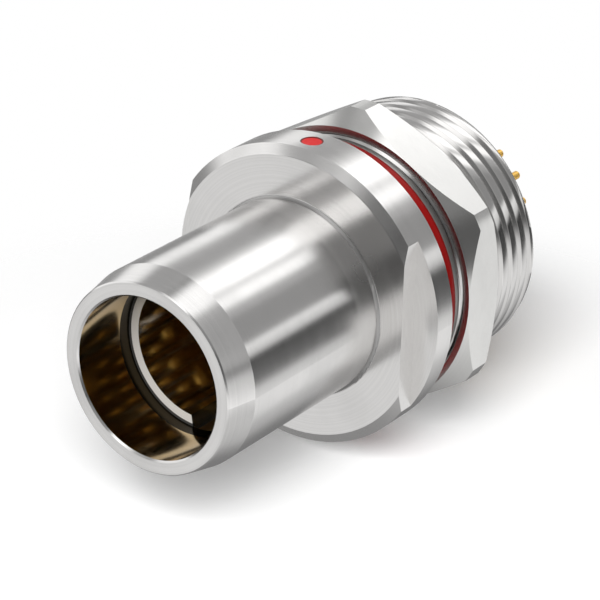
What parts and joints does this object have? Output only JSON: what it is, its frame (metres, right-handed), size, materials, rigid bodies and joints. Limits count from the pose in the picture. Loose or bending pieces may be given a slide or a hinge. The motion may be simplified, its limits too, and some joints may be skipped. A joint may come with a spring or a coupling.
{
  "type": "watertight circular panel socket",
  "caption": "Watertight circular panel connector: plug nose, flange with spanner flats and index dot, red seal, threaded rear with hexagon nut, and a pin contact insert.",
  "frame": {"origin": "on the axis, in the plane of the flange's rear face, where the panel sits", "axes": "+X forward along the axis to the nose, +Z through the red index dot, +Y to complete a right-handed set"},
  "size_m": [0.0326, 0.0178, 0.019],
  "materials": {
    "plated_metal": "turned, satin bright",
    "nut_metal": "satin bright",
    "sleeve_metal": "satin bright",
    "red_enamel": "gloss",
    "red_rubber": "satin",
    "insulator": "satin",
    "resin": "gloss",
    "gold": "gold plated"
  },
  "bodies": {
    "socket": {"shell": "plated_metal", "index_dot": "red_enamel", "flange_o_ring": "red_rubber", "keyed_sleeve": "sleeve_metal", "front_insulator": "insulator", "rear_insulator": "insulator", "insert_o_ring": "red_rubber", "retaining_ring": "sleeve_metal", "potting": "resin", "contact_01": "gold", "contact_02": "gold", "contact_03": "gold", "contact_04": "gold", "contact_05": "gold", "contact_06": "gold", "contact_07": "gold", "contact_08": "gold", "contact_09": "gold", "contact_10": "gold", "contact_11": "gold", "contact_12": "gold", "contact_13": "gold", "contact_14": "gold", "contact_15": "gold", "contact_16": "gold", "contact_17": "gold", "contact_18": "gold", "contact_19": "gold"},
    "nut": {"hex_nut": "nut_metal"}
  },
  "joints": [
    {"name": "nut_travel", "type": "slide", "parent": "socket", "child": "nut", "axis": [-1, 0, 0], "range_m": [0, 0.005]}
  ]
}
